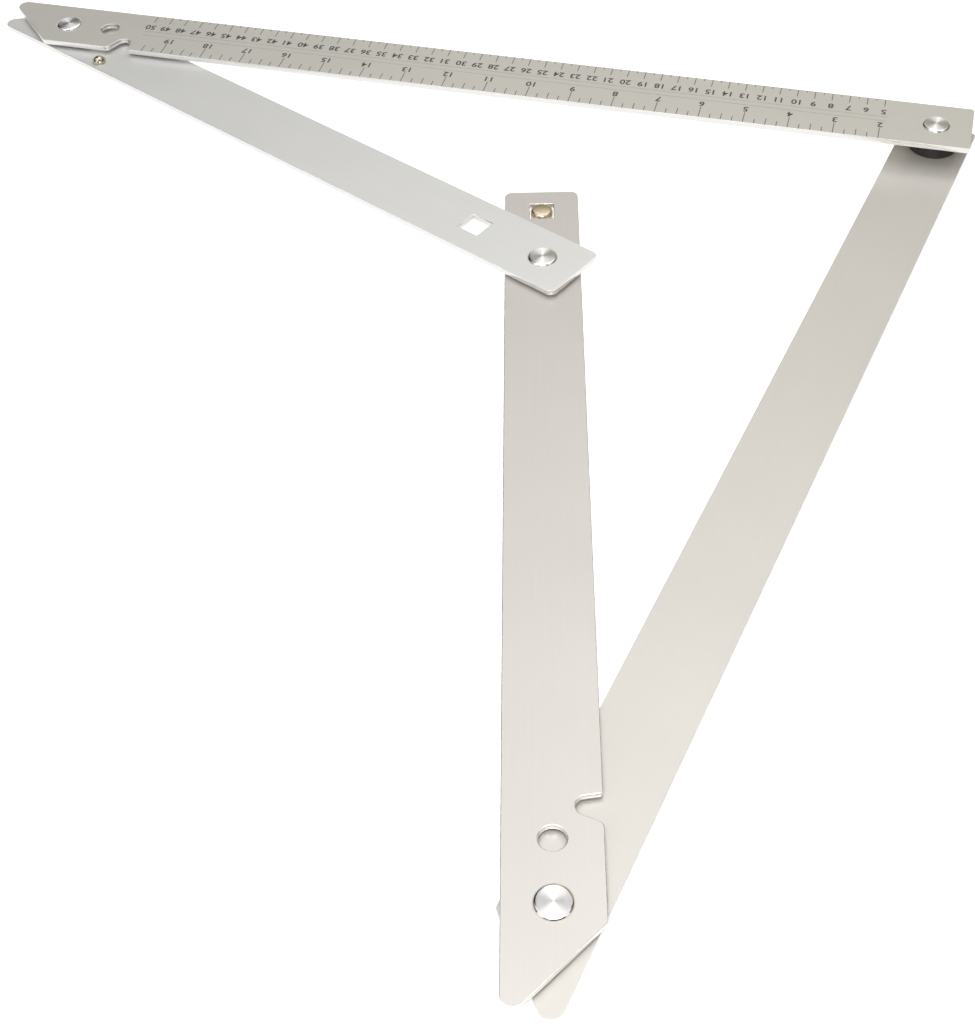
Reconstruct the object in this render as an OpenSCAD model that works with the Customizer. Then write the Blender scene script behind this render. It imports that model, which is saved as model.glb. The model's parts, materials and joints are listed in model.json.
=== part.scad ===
// Folding square: two legs and two braces, four flat bars in four layers.
// The legs meet at the corner pivot. Each brace runs from the tip of a leg to
// the middle pivot. Fully open, the braces lie in one line, the legs stand
// square and a spring catch locks the middle. Folded, all four bars stack up.
// The origin is on the corner pivot's axis, at the underside of the lowest bar.

/* [Bars] */
// Length of a leg along its outer edge, from the square end to the sharp tip
leg_length = 600; // [400:1:1200]
// Width of every bar
bar_width = 40; // [36:0.5:60]
// Thickness of every bar
bar_thickness = 3; // [2:0.1:5]
// Gap between the layers, which is one pivot washer thick
layer_gap = 1.5; // [1.3:0.1:3]
// Radius that blunts each 45 degree tip
tip_radius = 5; // [1:0.5:8]
// Corner radius at the square ends of the legs
leg_end_radius = 2; // [0.5:0.5:8]
// Corner radius at the square ends of the braces
brace_end_radius = 4; // [0.5:0.5:8]
// Length of the upper brace past the middle pivot
upper_overhang = 22; // [15:0.5:30]
// Length of the lower brace past the middle pivot
lower_overhang = 63.5; // [58:0.5:90]

/* [Pose] */
// Angle between the legs as drawn: 0 is folded flat, 90 is square
corner_angle = 79.3; // [0:0.1:90]

/* [Pivots] */
// Diameter of the rivet shanks
rivet_d = 8; // [5:0.1:10]
// Diameter of the rivet heads
head_d = 16; // [12:0.1:20]
// Rounding of the rim of a rivet head
head_rim = 0.8; // [0.2:0.1:1]
// Depth of the flush tail that each rivet has in the lower bar
tail_depth = 1.5; // [0.5:0.1:1.8]
// Diameter of the pivot washers
washer_d = 27; // [20:0.5:34]

/* [Hang hole] */
// Diameter of the hole for a wall peg, which lines up in all four folded bars
hang_d = 11.5; // [8:0.1:14]
// Distance of the hang hole from the tip pivot
hang_along = 27.5; // [25:0.5:29]

/* [Stop pin] */
// Diameter of the stop pin's head
pin_d = 8; // [6:0.1:9]
// Diameter of the stop pin's shank
pin_shank_d = 5; // [3:0.1:5.5]
// Distance of the stop pin from the tip pivot, along the bar
pin_along = 42; // [40:0.5:50]
// Distance of the stop pin from the brace's outer edge
pin_edge = 6.5; // [5:0.1:8]
// Height of the dome on the stop pin
pin_dome = 1.2; // [0.5:0.1:2]
// Slope of the notch's flank on the pivot side, in degrees
notch_flank = 25; // [22:0.5:35]
// Slope of the notch's far wall, in degrees
notch_wall = 8; // [0:0.5:20]
// Radius of the notch's lip on the pivot side
notch_lip = 3; // [0.5:0.5:4]
// Radius of the notch's far lip
notch_far_lip = 1.5; // [0.5:0.5:3]

/* [Spring catch] */
// Distance of the catch from the middle pivot
latch_along = 46; // [44:0.5:50]
// Side of the square windows that the catch works in
latch_window = 13; // [11:0.1:16]
// Diameter of the catch's stem, riveted through the spring
stem_d = 4; // [2:0.1:6]
// Thickness of the leaf spring
leaf_thickness = 0.4; // [0.2:0.05:0.6]
// Width of the leaf spring
leaf_width = 10; // [7:0.5:14]
// Diameter of the eye at the spring's fixed end
leaf_eye_d = 18; // [15:0.5:22]
// Length of the spring past the catch
leaf_tail = 8; // [4:0.5:11]
// Diameter of the middle rivet's tail, which clamps the spring
clamp_d = 14; // [11:0.5:18]
// Thickness of that tail
clamp_thickness = 0.5; // [0.3:0.1:0.6]

/* [Clearances] */
// Radial clearance of a rivet or pin in its hole
running_fit = 0.05; // [0.02:0.01:0.1]
// Clearance of heads, catch and spring under the bar that passes them
pass_clearance = 0.3; // [0.2:0.05:0.4]
// Clearance of the stop pin in the notch
notch_clearance = 0.5; // [0.2:0.1:0.8]
// Height that the stop pin stays below the face of the ruler
pin_below_face = 0.7; // [0.3:0.1:1.5]
// Clearance of the catch in its window, on each side
catch_clearance = 0.5; // [0.2:0.1:0.8]

/* [Hidden] */
$fn = 96;

// Cuts run this far past the faces that they open.
overcut = 1;

// Rounded corners cross their straight edges by this much instead of only
// touching them, so that no sliver is left where they meet.
arc_overlap = 0.01;

// A tip is cut at 45 degrees, and its pivot is on the bisector of that angle.
tip_angle_full = 45;
half_width = bar_width / 2;
tip_reach = half_width / tan(tip_angle_full / 2);

// Pivot distances. The braces are in one line when the legs are square.
leg_pivots = leg_length - half_width - tip_reach;
brace_pivots = leg_pivots / sqrt(2);

// Angle between a leg and its brace that closes the linkage at corner_angle.
half_chord = leg_pivots * sin(corner_angle / 2);
fold_reach = leg_pivots * cos(corner_angle / 2)
    - sqrt(max(0, pow(brace_pivots, 2) - pow(half_chord, 2)));
brace_angle = asin(fold_reach * sin(corner_angle / 2) / brace_pivots);

// Underside of each layer: leg, lower brace, upper brace, ruler.
layer_pitch = bar_thickness + layer_gap;
leg_z = 0;
lower_brace_z = layer_pitch;
upper_brace_z = 2 * layer_pitch;
ruler_z = 3 * layer_pitch;

rivet_r = rivet_d / 2;
bore_r = rivet_r + running_fit;
head_r = head_d / 2;
tail_r = rivet_r + tail_depth;
head_height = layer_gap - pass_clearance;

// The corner stack fills the two layers that the braces have elsewhere.
corner_stack = ruler_z - bar_thickness;
corner_washer_count = 7;
corner_washer_thickness = corner_stack / corner_washer_count;

pin_side = half_width - pin_edge;
pin_reach = layer_gap + bar_thickness - pin_below_face;
notch_r = pin_d / 2 + notch_clearance;

// The leaf spring bows down until it just clears the bar below.
leaf_drop = layer_gap - pass_clearance - leaf_thickness;
leaf_bend_start = leaf_eye_d / 2;
leaf_bend_end = latch_along - latch_window / 2;
catch_d = latch_window - 2 * catch_clearance;
catch_crown = bar_thickness + layer_gap - pass_clearance;
catch_dome = catch_crown - bar_thickness + pass_clearance;

function unit(v) = v / norm(v);

// Radius of the sphere whose cap of this height covers a disc of radius r.
function cap_radius(r, height) = (r * r + height * height) / (2 * height);

// Places children in the frame of a bar: tip pivot at the origin, bar along +X.
module at_ruler() {
    translate([-leg_pivots, 0, ruler_z]) children();
}

module at_upper_brace() {
    translate([-leg_pivots, 0, upper_brace_z]) rotate(-brace_angle) children();
}

module at_leg_tip(height) {
    translate([-leg_pivots * cos(corner_angle), -leg_pivots * sin(corner_angle), height]) children();
}

module at_leg() {
    at_leg_tip(leg_z) rotate(corner_angle) children();
}

module at_lower_brace() {
    at_leg_tip(lower_brace_z) rotate(corner_angle + brace_angle) children();
}

module at_middle(height) {
    at_lower_brace() translate([brace_pivots, 0, height - lower_brace_z]) children();
}

// The sliver to take off a corner so that it becomes an arc.
module corner_round(corner, side_a, side_b, radius) {
    along_a = unit(side_a - corner);
    along_b = unit(side_b - corner);
    half_angle = acos(along_a * along_b) / 2;
    inward = unit(along_a + along_b);
    tangent_length = radius / tan(half_angle);
    centre = corner + inward * radius / sin(half_angle);
    difference() {
        polygon([
            corner - inward * overcut,
            corner + along_a * tangent_length,
            centre,
            corner + along_b * tangent_length
        ]);
        translate(centre) circle(radius + arc_overlap);
    }
}

// Outline of a bar with its outer edge on +Y and its 45 degree tip at -X.
module bar_outline(end_x, end_radius) {
    tip = [-tip_reach, half_width];
    heel = [bar_width - tip_reach, -half_width];
    inner_end = [end_x, -half_width];
    outer_end = [end_x, half_width];
    difference() {
        polygon([tip, heel, inner_end, outer_end]);
        corner_round(tip, heel, outer_end, tip_radius);
        corner_round(inner_end, heel, outer_end, end_radius);
        corner_round(outer_end, inner_end, tip, end_radius);
    }
}

// Hooked notch in the inner edge, which lets the stop pin swing in and seats it:
// a V that is rounded round the pin at its apex, with rounded lips at its mouth.
module notch_outline() {
    pin = [pin_along, -pin_side];
    flank_seat = pin + notch_r * [-cos(notch_flank), sin(notch_flank)];
    wall_seat = pin + notch_r * [cos(notch_wall), sin(notch_wall)];
    flank_mouth = flank_seat - (flank_seat[1] + half_width) * [tan(notch_flank), 1];
    wall_mouth = wall_seat + (wall_seat[1] + half_width) * [tan(notch_wall), -1];
    apex_rise = (wall_mouth[0] - flank_mouth[0]) / (tan(notch_flank) + tan(notch_wall));
    apex = flank_mouth + apex_rise * [tan(notch_flank), 1];
    difference() {
        polygon([
            apex,
            flank_mouth,
            flank_mouth - [0, overcut],
            wall_mouth - [0, overcut],
            wall_mouth
        ]);
        corner_round(apex, flank_mouth, wall_mouth, notch_r);
    }
    corner_round(flank_mouth, flank_mouth - [1, 0], flank_seat, notch_lip);
    corner_round(wall_mouth, wall_mouth + [1, 0], wall_seat, notch_far_lip);
}

module hole_at(x, radius) {
    translate([x, 0]) circle(radius);
}

module window_at(x) {
    translate([x, 0]) square(latch_window, center = true);
}

// A flat bar with its tip pivot and hang hole. Children are further cut-outs.
module plate(end_x, end_radius) {
    linear_extrude(bar_thickness) difference() {
        bar_outline(end_x, end_radius);
        hole_at(0, bore_r);
        hole_at(hang_along, hang_d / 2);
        children();
    }
}

// Seat of a rivet's flush tail, cut into the underside of a bar.
module tail_seat(x) {
    translate([x, 0, 0]) tail_cone(running_fit);
    translate([x, 0, -overcut]) cylinder(overcut, r = tail_r + running_fit);
}

module tail_cone(growth) {
    cylinder(tail_depth, r1 = tail_r + growth, r2 = rivet_r + growth);
}

// Low rivet head with a rounded rim, standing on z = 0.
module rivet_head() {
    rotate_extrude() intersection() {
        square([head_r, head_height]);
        union() {
            square([head_r, head_height - head_rim]);
            square([head_r - head_rim, head_height]);
            translate([head_r - head_rim, head_height - head_rim]) circle(head_rim);
        }
    }
}

// Rivet through a stack of this height, with a flush tail at its lower end.
module rivet(grip) {
    cylinder(grip, r = rivet_r);
    tail_cone(0);
    translate([0, 0, grip]) rivet_head();
}

module washer(thickness) {
    difference() {
        cylinder(thickness, d = washer_d);
        translate([0, 0, -overcut]) cylinder(thickness + 2 * overcut, r = bore_r);
    }
}

// Cylinder closed by a dome: height is to the crown, dome is the cap's height.
module domed_stud(radius, height, dome) {
    sphere_r = cap_radius(radius, dome);
    intersection() {
        cylinder(height, r = radius);
        translate([0, 0, height - sphere_r]) sphere(sphere_r);
    }
}

module leg_bar() {
    color("gainsboro") at_leg() mirror([0, 1, 0]) difference() {
        plate(leg_pivots + half_width, leg_end_radius) hole_at(leg_pivots, bore_r);
        tail_seat(0);
        tail_seat(leg_pivots);
    }
}

module lower_brace() {
    color("lightgray") at_lower_brace() plate(brace_pivots + lower_overhang, brace_end_radius) {
        hole_at(brace_pivots, bore_r);
        window_at(brace_pivots + latch_along);
        notch_outline();
    }
}

module upper_brace() {
    color("lightsteelblue") at_upper_brace() mirror([0, 1, 0]) difference() {
        plate(brace_pivots + upper_overhang, brace_end_radius) {
            hole_at(brace_pivots, bore_r);
            window_at(brace_pivots - latch_along);
            translate([pin_along, pin_side]) circle(pin_shank_d / 2 + running_fit);
        }
        tail_seat(0);
    }
}

module ruler_bar() {
    color("silver") at_ruler() plate(leg_pivots + half_width, leg_end_radius) {
        hole_at(leg_pivots, bore_r);
        notch_outline();
    }
}

module corner_rivet() {
    color("whitesmoke") rivet(ruler_z + bar_thickness);
}

module ruler_tip_rivet() {
    color("whitesmoke") at_upper_brace() rivet(layer_pitch + bar_thickness);
}

module leg_tip_rivet() {
    color("whitesmoke") at_leg() rivet(layer_pitch + bar_thickness);
}

// Upper half of the middle rivet: its head, and the shank in the upper brace.
module brace_rivet_head() {
    color("whitesmoke") at_middle(upper_brace_z) {
        cylinder(bar_thickness, r = rivet_r);
        translate([0, 0, bar_thickness]) rivet_head();
    }
}

// Lower half of the middle rivet: the shank up to the upper brace, and the tail
// that clamps the leaf spring under the lower brace.
module brace_rivet_post() {
    color("whitesmoke") at_middle(lower_brace_z) {
        translate([0, 0, -leaf_thickness]) cylinder(leaf_thickness + layer_pitch, r = rivet_r);
        translate([0, 0, -leaf_thickness - clamp_thickness]) cylinder(clamp_thickness, d = clamp_d);
    }
}

module corner_washer(index) {
    color("dimgray")
        translate([0, 0, bar_thickness + (index - 1) * corner_washer_thickness])
            washer(corner_washer_thickness);
}

module ruler_tip_washer() {
    color("dimgray") at_upper_brace() translate([0, 0, bar_thickness]) washer(layer_gap);
}

module leg_tip_washer() {
    color("dimgray") at_leg() translate([0, 0, bar_thickness]) washer(layer_gap);
}

module brace_washer() {
    color("dimgray") at_middle(lower_brace_z + bar_thickness) washer(layer_gap);
}

module stop_pin() {
    color("darkkhaki") at_upper_brace() mirror([0, 1, 0]) translate([pin_along, pin_side, 0]) {
        cylinder(bar_thickness, d = pin_shank_d);
        translate([0, 0, bar_thickness]) domed_stud(pin_d / 2, pin_reach, pin_dome);
    }
}

// Leaf spring under the lower brace: an eye round the middle rivet, then a strip
// that bows away from the brace and carries the catch.
module latch_spring() {
    leaf_end = latch_along + catch_d / 2 + leaf_tail;
    color("slategray") at_middle(lower_brace_z) difference() {
        union() {
            translate([0, 0, -leaf_thickness]) cylinder(leaf_thickness, d = leaf_eye_d);
            rotate([90, 0, 0]) linear_extrude(leaf_width, center = true) polygon([
                [0, 0],
                [leaf_bend_start, 0],
                [leaf_bend_end, -leaf_drop],
                [leaf_end, -leaf_drop],
                [leaf_end, -leaf_drop - leaf_thickness],
                [leaf_bend_end, -leaf_drop - leaf_thickness],
                [leaf_bend_start, -leaf_thickness],
                [0, -leaf_thickness]
            ]);
        }
        translate([0, 0, -layer_gap]) cylinder(2 * layer_gap, r = bore_r);
        translate([latch_along, 0, -layer_gap]) cylinder(2 * layer_gap, r = stem_d / 2 + running_fit);
    }
}

// Domed catch in the lower brace's window, with its stem through the spring.
module catch_button() {
    color("tan") at_middle(lower_brace_z) translate([latch_along, 0, -leaf_drop]) {
        domed_stud(catch_d / 2, catch_crown + leaf_drop, catch_dome);
        translate([0, 0, -leaf_thickness]) cylinder(leaf_thickness, d = stem_d);
    }
}

leg_bar();
lower_brace();
upper_brace();
ruler_bar();
corner_rivet();
ruler_tip_rivet();
leg_tip_rivet();
brace_rivet_head();
brace_rivet_post();
corner_washer(1);  // corner_washer_1
corner_washer(2);  // corner_washer_2
corner_washer(3);  // corner_washer_3
corner_washer(4);  // corner_washer_4
corner_washer(5);  // corner_washer_5
corner_washer(6);  // corner_washer_6
corner_washer(7);  // corner_washer_7
ruler_tip_washer();
leg_tip_washer();
brace_washer();
stop_pin();
latch_spring();
catch_button();
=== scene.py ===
"""Looks of a folding square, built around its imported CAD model.

Four satin aluminium bars, the rule on the top bar, turned rivets, moulded washers and a spring catch.
"""

import json
import math

import bmesh
import bpy
from bpy.props import (
    FloatProperty,
    FloatVectorProperty,
    IntProperty,
    PointerProperty,
)
from mathutils import Matrix, Vector


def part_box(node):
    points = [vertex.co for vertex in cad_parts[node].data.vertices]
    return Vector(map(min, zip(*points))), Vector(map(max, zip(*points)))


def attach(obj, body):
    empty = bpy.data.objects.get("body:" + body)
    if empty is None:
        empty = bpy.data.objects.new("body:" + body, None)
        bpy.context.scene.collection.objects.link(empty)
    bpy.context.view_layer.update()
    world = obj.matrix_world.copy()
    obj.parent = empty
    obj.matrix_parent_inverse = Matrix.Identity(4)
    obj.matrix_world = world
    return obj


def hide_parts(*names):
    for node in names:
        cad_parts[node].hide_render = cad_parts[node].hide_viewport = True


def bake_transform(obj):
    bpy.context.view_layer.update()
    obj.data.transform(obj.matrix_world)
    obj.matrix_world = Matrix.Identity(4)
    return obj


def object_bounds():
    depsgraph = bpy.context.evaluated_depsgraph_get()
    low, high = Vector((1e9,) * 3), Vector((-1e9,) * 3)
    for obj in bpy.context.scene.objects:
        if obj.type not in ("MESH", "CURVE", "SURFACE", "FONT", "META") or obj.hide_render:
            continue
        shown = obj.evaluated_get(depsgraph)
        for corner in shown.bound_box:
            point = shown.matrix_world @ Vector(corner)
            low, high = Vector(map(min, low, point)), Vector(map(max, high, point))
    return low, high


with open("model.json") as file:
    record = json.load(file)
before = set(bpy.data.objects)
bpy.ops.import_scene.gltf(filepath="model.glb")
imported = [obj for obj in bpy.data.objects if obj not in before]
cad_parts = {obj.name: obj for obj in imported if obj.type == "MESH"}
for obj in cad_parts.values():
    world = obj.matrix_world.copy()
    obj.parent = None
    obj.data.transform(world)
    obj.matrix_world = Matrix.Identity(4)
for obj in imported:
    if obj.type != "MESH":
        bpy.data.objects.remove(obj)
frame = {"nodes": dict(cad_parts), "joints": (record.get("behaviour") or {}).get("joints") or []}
CAD_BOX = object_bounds()

bl_info = {
    "name": "Folding square",
    "version": (1, 0, 0),
    "blender": (4, 5, 0),
    "location": "View3D > Sidebar > Square",
    "description": "Dresses the packed model of a folding square",
    "category": "Object",
}

MM = 0.001
CM = 10 * MM
INCH = 25.4 * MM
WHITE = (1.0, 1.0, 1.0, 1.0)
RADIUS_NAME = "turned_radius"

# Distances within which corners of a mesh are one: on a made piece, and on a CAD node's loose triangles.
SEAM = 0.001 * MM
WELD = 0.002 * MM

# Angles in degrees: within which triangles make up one face, past which a bar's edge is broken, and past
# which the shading of a bar, a turned piece and the leaf shows an edge.
FACE_ANGLE = 0.5
EDGE_ANGLE = 30
BAR_CREASE = 40
TURNED_CREASE = 35
LEAF_CREASE = 20

# Least Z of the normal of a bar's flat face, up or down, and of a rivet's turned face.
FLAT_FACING = 0.999
TURNED_FACING = 0.97

# Ring that keeps the shading of a rivet head's rim off its flat face, as a share of that face's radius.
HEAD_RING = 0.97

# A dome's rounded foot: inset and drop of its middle point, as shares of its rounding, and the degrees by
# which the dome starts higher, times the rounding over the radius of the dome's sphere.
FOOT_INSET = 0.08
FOOT_DROP = 0.35
FOOT_LIFT = 40

# Points of the catch's crown, from its rim to its axis: the share of the rim's inner radius, and the share
# of the crown's rise by which the point lies below the top.
CROWN_POINTS = ((0.9, 0.75), (0.5, 0.0), (0.0, 0.0))

# The span in which most of a noise lies.
NOISE_SPAN = (0.3, 0.7)

# Each softbox round the part: its azimuth from the camera's side towards +X and its elevation, in degrees,
# its width and height in metres, and its brightness.
SOFTBOXES = {
    "front left softbox": (-40, 32, 0.85, 0.85, 1.35),
    "right softbox": (72, 30, 0.55, 0.65, 1.25),
}

# Each dark flag in the sky: its azimuth from straight behind the part towards +X and half its width, in
# degrees, the lowest and highest sine of its elevation, and the light it lets through.
FLAGS = {
    "left flag": (-50, 18, 0.40, 0.88, 0.06),
    "right flag": (50, 9, 0.42, 0.80, 0.30),
    "front flag": (145, 33, 0.30, 0.95, 0.10),
}

# Soft edges of the flags: to the sides, in degrees, and above and below, as a sine.
FLAG_SIDE_EDGE = 4
FLAG_HEIGHT_EDGE = 0.06

# Where the sky changes. Heights are sines of the elevation, and turns are azimuths in degrees from straight
# behind the part towards +X. The last three are the direction's Y, its X without a sign, and its X.
BACK_HEIGHTS = (0.505, 0.84)
FRONT_HEIGHTS = (0.6, 0.9)
HORIZON_HEIGHTS = (0.20, 0.34)
WARM_HEIGHTS = (0.5, 0.75)
WARM_TURNS = (-35, -5)
FRONT_TO_BACK = (-0.25, 0.05)
MIDDLE_TO_SIDE = (0.2, 0.8)
LEFT_TO_RIGHT = (-0.08, 0.08)


def joint_place(name):
    """Place of a joint's axis at rest."""
    for joint in frame["joints"]:
        if joint["name"] == name:
            return Vector(joint["pos_m"])
    raise ValueError(f"the frame has no joint named {name}")


def axis_of(node):
    """Foot of a turned node's own axis: the middle of its box, at its underside."""
    low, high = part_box(node)
    return Vector(((low.x + high.x) / 2, (low.y + high.y) / 2, low.z))


CORNER = joint_place("corner_fold")
RULER_TIP = joint_place("ruler_tip_fold")
LEG_TIP = joint_place("leg_tip_fold")
MIDDLE = axis_of("brace_rivet_head")

# Each bar's node: its body, its tip pivot, the pivot it runs to, and its slot in the record.
BARS = {
    "ruler_bar": ("ruler", RULER_TIP, CORNER, "ruler_aluminium"),
    "upper_brace": ("upper_brace", RULER_TIP, MIDDLE, "bar_aluminium"),
    "lower_brace": ("lower_brace", LEG_TIP, MIDDLE, "bar_aluminium"),
    "leg_bar": ("leg", LEG_TIP, CORNER, "bar_aluminium"),
}


def bar_angle(bar):
    """Angle of a bar's length about Z, from its tip pivot."""
    _, start, end, _ = BARS[bar]
    return math.atan2(end.y - start.y, end.x - start.x)


def length(name, description, millimetres):
    """A length setting, given in millimetres."""
    return FloatProperty(
        name=name, description=description, default=millimetres * MM, min=0.0, unit="LENGTH", precision=5
    )


def colour(name, description, value):
    """A colour setting."""
    return FloatVectorProperty(
        name=name, description=description, default=value, min=0.0, max=1.0, size=3, subtype="COLOR"
    )


def level(name, description, value):
    """A strength of light."""
    return FloatProperty(name=name, description=description, default=value, min=0.0)


def share(name, description, value):
    """A setting from 0 to 1."""
    return FloatProperty(
        name=name, description=description, default=value, min=0.0, max=1.0, subtype="FACTOR"
    )


def whole(name, description, value, least=1):
    """A whole number setting."""
    return IntProperty(name=name, description=description, default=value, min=least)


def spot(name, description, value):
    """A place setting, in metres."""
    return FloatVectorProperty(
        name=name, description=description, default=value, subtype="TRANSLATION", precision=5
    )


class SquareBarSettings(bpy.types.PropertyGroup):
    """Finish of the four bars"""

    edge_break: length("Edge break", "Width of the broken edge of a bar", 0.45)
    edge_steps: whole("Edge steps", "Facets across a broken edge", 2)
    ruler_bar: colour("Ruler", "Face of the ruler", (0.65, 0.632, 0.588))
    upper_brace: colour("Upper brace", "Face of the upper brace", (0.768, 0.768, 0.755))
    lower_brace: colour("Lower brace", "Face of the lower brace", (0.641, 0.611, 0.581))
    leg_bar: colour("Leg", "Face of the leg", (0.643, 0.618, 0.58))
    cut_edge: colour("Cut edge", "Sawn and milled walls of the bars", (0.93, 0.92, 0.90))
    roughness: share("Roughness", "Roughness of the satin faces", 0.42)
    metal: share("Metal", "How far the satin faces reflect as bare metal, not as a matt oxide", 0.40)
    edge_roughness: share("Edge roughness", "Roughness of the cut walls", 0.26)


class SquareRuleSettings(bpy.types.PropertyGroup):
    """Ticks, numbers and lines of the rule"""

    first_cm: whole("First centimetre", "Where the metric rule starts", 5)
    last_cm: whole("Last centimetre", "Where the metric rule ends", 50)
    first_inch: whole("First inch", "Where the inch rule starts", 2)
    last_inch: whole("Last inch", "Last full inch of the rule", 19)
    cm_tick: length("Centimetre tick", "Length of a centimetre tick", 7.5)
    half_cm_tick: length("Half centimetre tick", "Length of a half centimetre tick", 2.5)
    inch_tick: length("Inch tick", "Length of an inch tick", 10.5)
    half_inch_tick: length("Half inch tick", "Length of a half inch tick", 6.6)
    quarter_inch_tick: length("Quarter inch tick", "Length of a quarter inch tick", 4.8)
    tick_width: length("Tick width", "Width of every tick", 0.48)
    ink: length("Ink", "Height of the print above the ruler's face", 0.02)
    ink_root: length("Ink root", "Depth of the print below the ruler's face", 0.02)
    edge_margin: length("Edge margin", "Bare strip between the ticks and the bar's edge", 0.45)
    number_height: length("Number height", "Height of the numbers", 4.9)
    number_weight: length("Number weight", "How far the strokes of the numbers are fattened", 0.14)
    cm_number_place: length("Centimetre numbers", "Middle of these numbers above the centre line", 6.8)
    inch_number_place: length("Inch numbers", "Middle of these numbers below the centre line", 6.5)
    line_place: length("Line place", "Distance of the two long lines from the centre line", 2.1)
    line_width: length("Line width", "Width of the two long lines", 0.35)
    line_start: length("Line start", "Where the long lines start, from the square end", 47.5)
    line_end: length("Line end", "Where the long lines end, from the square end", 502)
    number_colour: colour("Number colour", "Print of the numbers", (0.055, 0.052, 0.048))
    tick_colour: colour("Tick colour", "Print of the ticks", (0.10, 0.097, 0.09))
    line_colour: colour("Line colour", "Print of the two long lines", (0.30, 0.29, 0.27))


class SquareTurnedSettings(bpy.types.PropertyGroup):
    """Rivets, washers, stop pin, catch and its leaf spring"""

    segments: whole("Segments", "Facets round a turned piece", 96, least=12)
    shank: length("Rivet shank", "Radius of the rivets' shanks", 4.0)
    head_height: length("Head height", "Height of a rivet head", 1.2)
    head_rim: length("Head rim", "Width of the rounded rim of a rivet head", 2.2)
    tail_depth: length("Tail depth", "Depth of a rivet's flush tail", 1.5)
    clamp: length("Clamp disc", "Thickness of the disc under the middle rivet", 0.5)
    washer_round: length("Washer round", "Rounding of the washers' rims", 0.28)
    pin_shank: length("Pin shank", "Radius of the stop pin's shank", 2.5)
    pin_shank_length: length("Pin shank length", "Length of the stop pin's shank", 3.0)
    pin_dome: length("Pin dome", "Height of the stop pin's dome", 2.6)
    catch_stem: length("Catch stem", "Radius of the catch's stem", 2.0)
    catch_stem_length: length("Catch stem length", "Length of the catch's stem", 0.4)
    catch_dome: length("Catch dome", "Height of the catch's rounded top", 1.5)
    catch_rim: length("Catch rim", "Width of the catch's rounded rim", 1.5)
    catch_crown: length("Catch crown", "Rise of the catch's top inside its rim", 0.15)
    dome_round: length("Dome round", "Rounding between a dome and its side", 0.35)
    ring_pitch: length("Ring pitch", "Distance between the turning marks", 0.35)
    rivet_colour: colour("Rivet", "Turned steel of the rivets", (0.86, 0.85, 0.84))
    washer_colour: colour("Washer", "Moulded black of the washers", (0.018, 0.018, 0.019))
    pin_colour: colour("Stop pin", "Passivated steel of the stop pin", (0.56, 0.52, 0.42))
    pin_roughness: share("Stop pin roughness", "Roughness of the stop pin", 0.14)
    catch_colour: colour("Catch", "Polished metal of the catch", (0.72, 0.615, 0.47))
    catch_roughness: share("Catch roughness", "Roughness of the catch", 0.16)
    spring_colour: colour("Spring", "Steel of the leaf spring", (0.33, 0.34, 0.36))
    spring_roughness: share("Spring roughness", "Roughness of the leaf spring", 0.3)
    rim_roughness: share("Rim roughness", "Roughness of the rivets' rims", 0.10)
    rivet_roughness: share("Rivet roughness", "Roughness of the turned faces", 0.40)
    turning: share("Turning", "How far the turning marks stretch a reflection", 0.96)


class SquareStageSettings(bpy.types.PropertyGroup):
    """Floor, light and camera"""

    floor_half: length("Floor", "Half the side of the floor", 8000)
    floor_gap: length("Floor gap", "Gap that keeps the floor's face off the leg's underside", 0.1)
    floor_colour: colour("Floor colour", "Pale floor", (0.36, 0.36, 0.36))
    floor_glow: level("Floor glow", "Light that comes through the floor from below", 0.68)
    floor_white: level("Floor white", "Light that whitens the floor in the picture", 0.35)
    sky_low: level("Low sky", "Light from low at the back", 0.39)
    sky_high: level("High sky", "Light from overhead", 1.95)
    sky_right: share("Sky right", "How far the sky darkens on the right of the picture's middle", 0.20)
    sky_warm: colour("Warm sky", "Tint of the low sky at the back and right", (1.0, 0.93, 0.70))
    sky_front: level("Front sky", "Light between the softboxes on the camera's side", 0.25)
    sky_horizon: level("Horizon", "Light from the horizon all round", 0.9)
    sky_side: share("Sky side", "How far the sky darkens to the left and right", 0.60)
    softbox_distance: length("Softbox distance", "Distance of the softboxes round the part", 1700)
    softbox_level: level("Softbox level", "Strength of the softboxes round the part", 1.0)
    near_place: spot("Near softbox", "Place of the softbox over the near tips", (0.0, -0.7, 0.62))
    near_aim: spot("Near aim", "Point at which the near softbox is aimed", (-0.10, -0.38, 0.0))
    near_width: length("Near width", "Width of the near softbox", 450)
    near_depth: length("Near depth", "Depth of the near softbox", 300)
    near_level: level("Near level", "Brightness of the near softbox", 6.6)
    camera_place: spot("Camera place", "Where the camera stands", (-0.02372, -0.82162, 0.54876))
    camera_turn: FloatVectorProperty(
        name="Camera turn", description="How the camera is turned",
        default=(math.radians(43.0727), math.radians(1.4581), math.radians(14.1624)), subtype="EULER",
    )
    camera_lens: FloatProperty(name="Lens", description="Focal length in millimetres", default=57.662)
    camera_shift: FloatProperty(name="Shift", description="Sideways shift of the picture", default=-0.0269)


class SquareSettings(bpy.types.PropertyGroup):
    """All settings of the folding square"""

    bars: PointerProperty(type=SquareBarSettings)
    rule: PointerProperty(type=SquareRuleSettings)
    turned: PointerProperty(type=SquareTurnedSettings)
    stage: PointerProperty(type=SquareStageSettings)


def fill(tree, socket, value):
    """Link a socket to another one, or set its value."""
    if isinstance(value, bpy.types.NodeSocket):
        tree.links.new(value, socket)
    else:
        socket.default_value = value


def add_node(tree, kind, inputs=None, **options):
    """A node of this kind. Options are its own settings, inputs its sockets' values or links."""
    made = tree.nodes.new(kind)
    for name, value in options.items():
        setattr(made, name, value)
    for name, value in (inputs or {}).items():
        fill(tree, made.inputs[name], value)
    return made


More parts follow.
